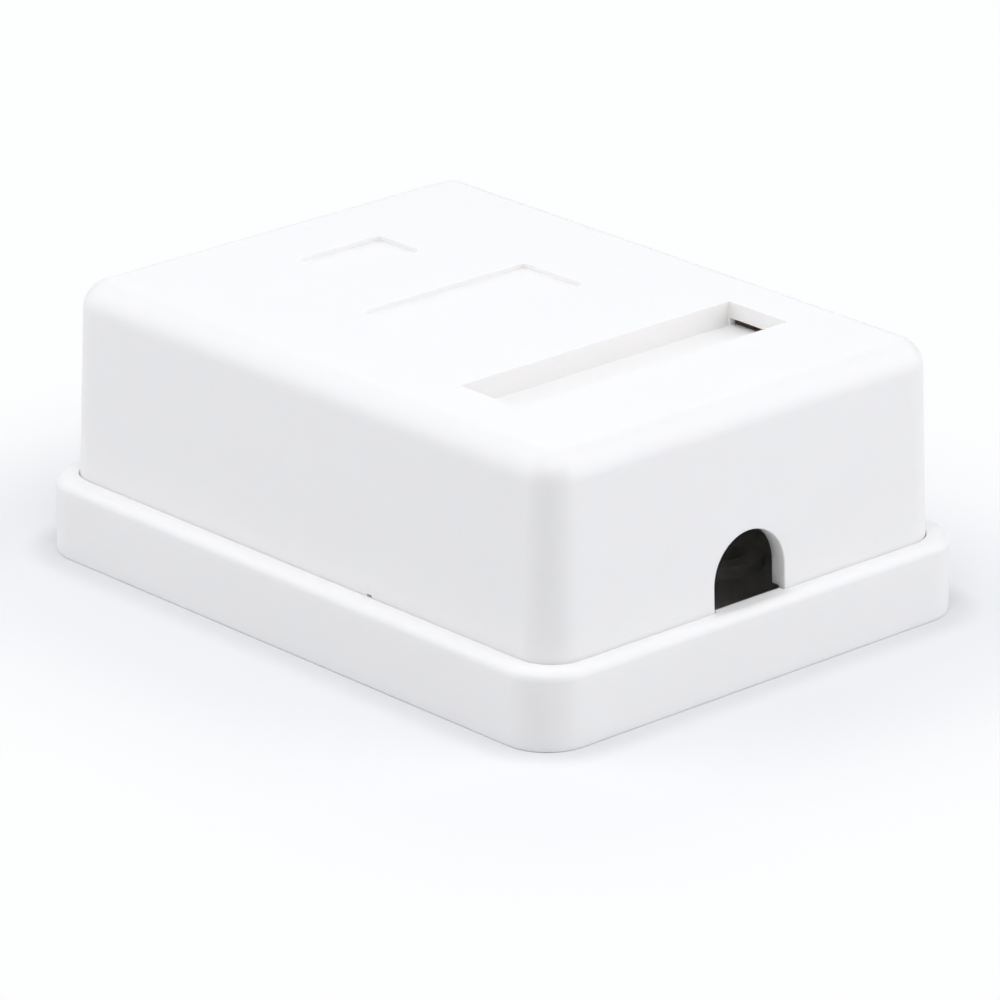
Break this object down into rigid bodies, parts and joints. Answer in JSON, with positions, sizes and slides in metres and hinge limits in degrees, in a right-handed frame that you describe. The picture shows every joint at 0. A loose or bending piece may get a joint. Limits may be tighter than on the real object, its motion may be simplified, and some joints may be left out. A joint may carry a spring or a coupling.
{
  "type": "surface mount jack box",
  "caption": "Low rounded box for a wall: tray base with board, modular jack and wire terminals under a lift-off cover with an arched cable entry.",
  "frame": {"origin": "middle of the base's flat underside, which lies against the wall", "axes": "+Z away from the wall, +Y along the box towards the cable entry, +X across the box; the plug opening faces -Y"},
  "size_m": [0.05, 0.0654, 0.0248],
  "materials": {
    "white_abs": "moulded white ABS, fine satin",
    "board_laminate": "green solder mask on glass-epoxy board",
    "zinc_steel": "zinc-plated steel screws",
    "black_nylon": "black moulded nylon",
    "gilt_contact": "gold-plated phosphor bronze",
    "ivory_polycarbonate": "moulded ivory polycarbonate",
    "tinned_bronze": "tin-plated phosphor bronze"
  },
  "bodies": {
    "base_body": {"base": "white_abs", "circuit_board": "board_laminate", "board_screws": "zinc_steel", "jack_housing": "black_nylon", "jack_contact_1": "gilt_contact", "jack_contact_2": "gilt_contact", "jack_contact_3": "gilt_contact", "jack_contact_4": "gilt_contact", "jack_contact_5": "gilt_contact", "jack_contact_6": "gilt_contact", "jack_contact_7": "gilt_contact", "jack_contact_8": "gilt_contact", "terminal_block_left": "ivory_polycarbonate", "terminal_block_right": "ivory_polycarbonate", "wire_fork_left_1": "tinned_bronze", "wire_fork_left_2": "tinned_bronze", "wire_fork_left_3": "tinned_bronze", "wire_fork_left_4": "tinned_bronze", "wire_fork_right_1": "tinned_bronze", "wire_fork_right_2": "tinned_bronze", "wire_fork_right_3": "tinned_bronze", "wire_fork_right_4": "tinned_bronze", "terminal_cap_left": "ivory_polycarbonate", "terminal_cap_right": "ivory_polycarbonate"},
    "cover_body": {"cover": "white_abs"}
  },
  "joints": [
    {"name": "cover_lift", "type": "slide", "parent": "base_body", "child": "cover_body", "axis": [0, 0, 1], "range_m": [0, 0.03]}
  ]
}
